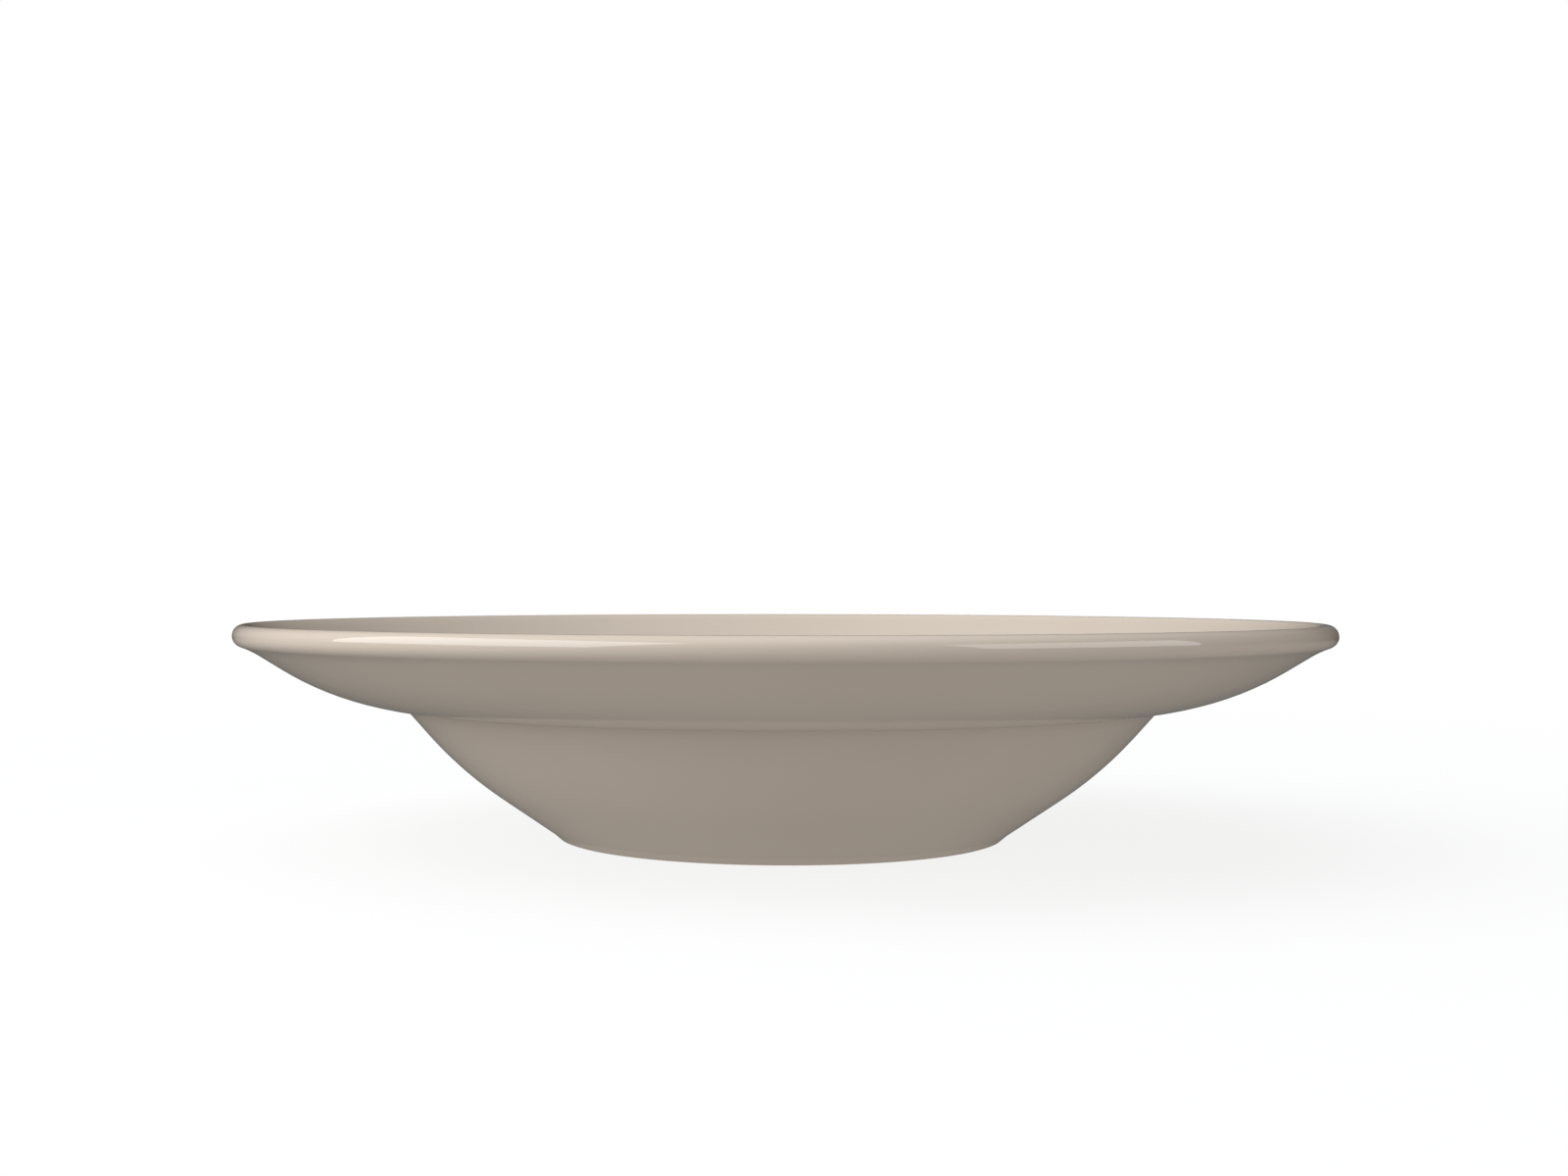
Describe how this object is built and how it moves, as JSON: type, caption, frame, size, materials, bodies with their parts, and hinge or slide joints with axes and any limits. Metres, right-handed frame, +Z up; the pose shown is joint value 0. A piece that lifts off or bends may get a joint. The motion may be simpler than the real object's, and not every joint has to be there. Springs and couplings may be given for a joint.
{
  "type": "soup plate",
  "caption": "Round rimmed soup plate: a shallow well with curved walls, a broad upswept rim with a rolled edge, and a low recessed foot ring, in glazed ceramic.",
  "frame": {"origin": "centre of the foot ring in the plane that stands on the table, on the axis the plate is turned about", "axes": "+Z up along the turning axis; the plate is alike all round it, so +X and +Y may point anywhere level"},
  "size_m": [0.23, 0.23, 0.0461],
  "materials": {
    "fired_clay": "bare vitrified clay, matt and slightly gritty, wiped dry of glaze on the foot ring",
    "glaze": "glossy opaque warm ivory glaze"
  },
  "bodies": {
    "root": {"clay_body": "fired_clay", "glaze_coat": "glaze", "base_glaze": "glaze"}
  },
  "joints": []
}
